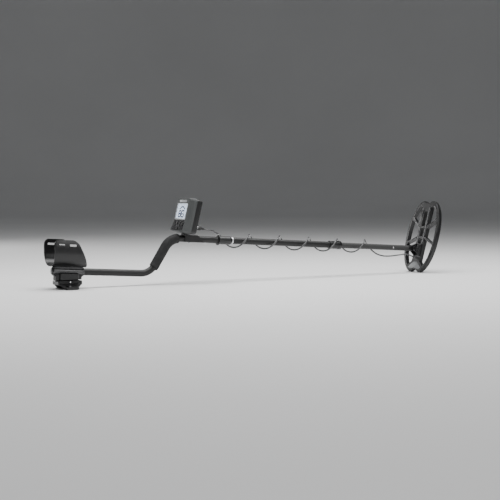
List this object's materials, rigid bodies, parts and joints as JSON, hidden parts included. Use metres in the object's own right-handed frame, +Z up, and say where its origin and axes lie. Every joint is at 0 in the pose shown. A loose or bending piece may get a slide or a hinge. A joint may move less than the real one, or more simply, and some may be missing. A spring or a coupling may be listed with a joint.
{
  "type": "metal detector",
  "caption": "Hand-held metal detector with an S-shaped telescoping shaft, arm cuff, control box and tilting open-frame search coil, at rest on its stand.",
  "frame": {"origin": "centre of the object's box at the level of the ground it stands on", "axes": "+X from the arm cuff towards the search coil, +Y to the user's left, +Z up"},
  "size_m": [1.482, 0.1718, 0.2779],
  "materials": {
    "satin_tube": "satin black tube",
    "grip_foam": "matt closed-cell foam",
    "moulded_black": "fine-grained black moulding",
    "box_grey": "satin dark grey moulding",
    "coil_black": "satin black moulding",
    "soft_rubber": "matt black rubber",
    "bright_steel": "bright turned steel",
    "clear_window": "clear lens",
    "display_glass": "lit grey-white liquid crystal display",
    "board_green": "solder-masked board",
    "cell_sleeve": "plain unprinted sleeve",
    "copper_wire": "enamelled copper",
    "white_nylon": "natural nylon",
    "rod_fibre": "satin grey-black fibre tube",
    "cable_sheath": "satin black sheath"
  },
  "bodies": {
    "root": {"s_stem": "satin_tube", "stem_end_cap": "moulded_black", "grip_sleeve": "grip_foam", "arm_cuff": "moulded_black", "cuff_saddle": "moulded_black", "stand_block": "moulded_black", "stand": "moulded_black", "stand_screw": "bright_steel", "cuff_bolt": "bright_steel", "box_bracket": "moulded_black", "bracket_screw": "bright_steel", "face_shell": "box_grey", "back_shell": "moulded_black", "display_window": "clear_window", "display_panel": "display_glass", "circuit_board": "board_green", "speaker": "moulded_black", "battery_1": "cell_sleeve", "battery_2": "cell_sleeve", "battery_3": "cell_sleeve", "battery_4": "cell_sleeve", "box_screw_1": "bright_steel", "box_screw_2": "bright_steel", "box_screw_3": "bright_steel", "box_screw_4": "bright_steel", "cable_socket": "bright_steel", "plug_body": "soft_rubber", "upper_lock_bush": "white_nylon", "cable_upper": "cable_sheath"},
    "battery_door": {"battery_door": "moulded_black"},
    "plug_nut": {"plug_nut": "moulded_black"},
    "upper_collar": {"upper_lock_collar": "moulded_black"},
    "middle_tube": {"middle_tube": "satin_tube", "tube_stop_ring": "bright_steel", "lower_lock_bush": "white_nylon", "upper_button_spring": "bright_steel", "cable_middle": "cable_sheath"},
    "upper_button": {"upper_snap_button": "bright_steel"},
    "lower_collar": {"lower_lock_collar": "moulded_black"},
    "lower_rod": {"lower_rod": "rod_fibre", "rod_end": "moulded_black", "rod_end_rivet": "bright_steel", "lower_button_spring": "bright_steel", "friction_washer_left": "soft_rubber", "friction_washer_right": "soft_rubber", "cable_lower": "cable_sheath"},
    "lower_button": {"lower_snap_button": "bright_steel"},
    "coil": {"coil_housing": "coil_black", "coil_cover": "coil_black", "transmit_winding": "copper_wire", "receive_winding": "copper_wire", "coil_gland": "soft_rubber", "pivot_bolt": "moulded_black"},
    "pivot_knob": {"pivot_knob": "moulded_black"},
    "key_outer_right": {"key_outer_right": "soft_rubber"},
    "key_inner_right": {"key_inner_right": "soft_rubber"},
    "key_outer_left": {"key_outer_left": "soft_rubber"},
    "key_inner_left": {"key_inner_left": "soft_rubber"},
    "key_power": {"key_power": "soft_rubber"}
  },
  "joints": [
    {"name": "battery_door_slide", "type": "slide", "parent": "root", "child": "battery_door", "axis": [0.2351, 0, 0.972], "range_m": [0, 0.05]},
    {"name": "plug_nut_turn", "type": "hinge", "parent": "root", "child": "plug_nut", "pos_m": [-0.24161, -0.03, 0.18048], "axis": [0.972, 0, -0.2351], "range_deg": [0, 360]},
    {"name": "upper_collar_turn", "type": "hinge", "parent": "root", "child": "upper_collar", "pos_m": [-0.13431, 0, 0.13629], "axis": [0.9981, 0, -0.061], "range_deg": [0, 90]},
    {"name": "middle_slide", "type": "slide", "parent": "root", "child": "middle_tube", "axis": [0.9981, 0, -0.061], "range_m": [0, 0.06], "deforming": ["cable_upper", "upper_snap_button"]},
    {"name": "upper_button_press", "type": "slide", "parent": "middle_tube", "child": "upper_button", "axis": [0.061, 0, 0.9981], "range_m": [0, 0.0032], "stiffness_N_per_m": 700, "deforming": ["upper_button_spring"]},
    {"name": "lower_collar_turn", "type": "hinge", "parent": "middle_tube", "child": "lower_collar", "pos_m": [0.30686, 0, 0.10931], "axis": [0.9981, 0, -0.061], "range_deg": [0, 90]},
    {"name": "lower_slide", "type": "slide", "parent": "middle_tube", "child": "lower_rod", "axis": [0.9981, 0, -0.061], "range_m": [-0.19, 0], "deforming": ["cable_middle", "lower_snap_button"]},
    {"name": "lower_button_press", "type": "slide", "parent": "lower_rod", "child": "lower_button", "axis": [0.061, 0, 0.9981], "range_m": [0, 0.0032], "stiffness_N_per_m": 700, "deforming": ["lower_button_spring"]},
    {"name": "coil_tilt", "type": "hinge", "parent": "lower_rod", "child": "coil", "pos_m": [0.65621, 0, 0.08794], "axis": [0, 1, 0], "range_deg": [-30, 80], "deforming": ["cable_lower"]},
    {"name": "pivot_knob_turn", "type": "hinge", "parent": "coil", "child": "pivot_knob", "pos_m": [0.65621, 0, 0.08794], "axis": [0, 1, 0], "range_deg": [0, 360]},
    {"name": "key_outer_right_press", "type": "slide", "parent": "root", "child": "key_outer_right", "axis": [0.9353, 0, -0.3539], "range_m": [0, 0.0012], "stiffness_N_per_m": 900},
    {"name": "key_inner_right_press", "type": "slide", "parent": "root", "child": "key_inner_right", "axis": [0.9353, 0, -0.3539], "range_m": [0, 0.0012], "stiffness_N_per_m": 900},
    {"name": "key_outer_left_press", "type": "slide", "parent": "root", "child": "key_outer_left", "axis": [0.9353, 0, -0.3539], "range_m": [0, 0.0012], "stiffness_N_per_m": 900},
    {"name": "key_inner_left_press", "type": "slide", "parent": "root", "child": "key_inner_left", "axis": [0.9353, 0, -0.3539], "range_m": [0, 0.0012], "stiffness_N_per_m": 900},
    {"name": "key_power_press", "type": "slide", "parent": "root", "child": "key_power", "axis": [0.9353, 0, -0.3539], "range_m": [0, 0.0012], "stiffness_N_per_m": 900}
  ]
}
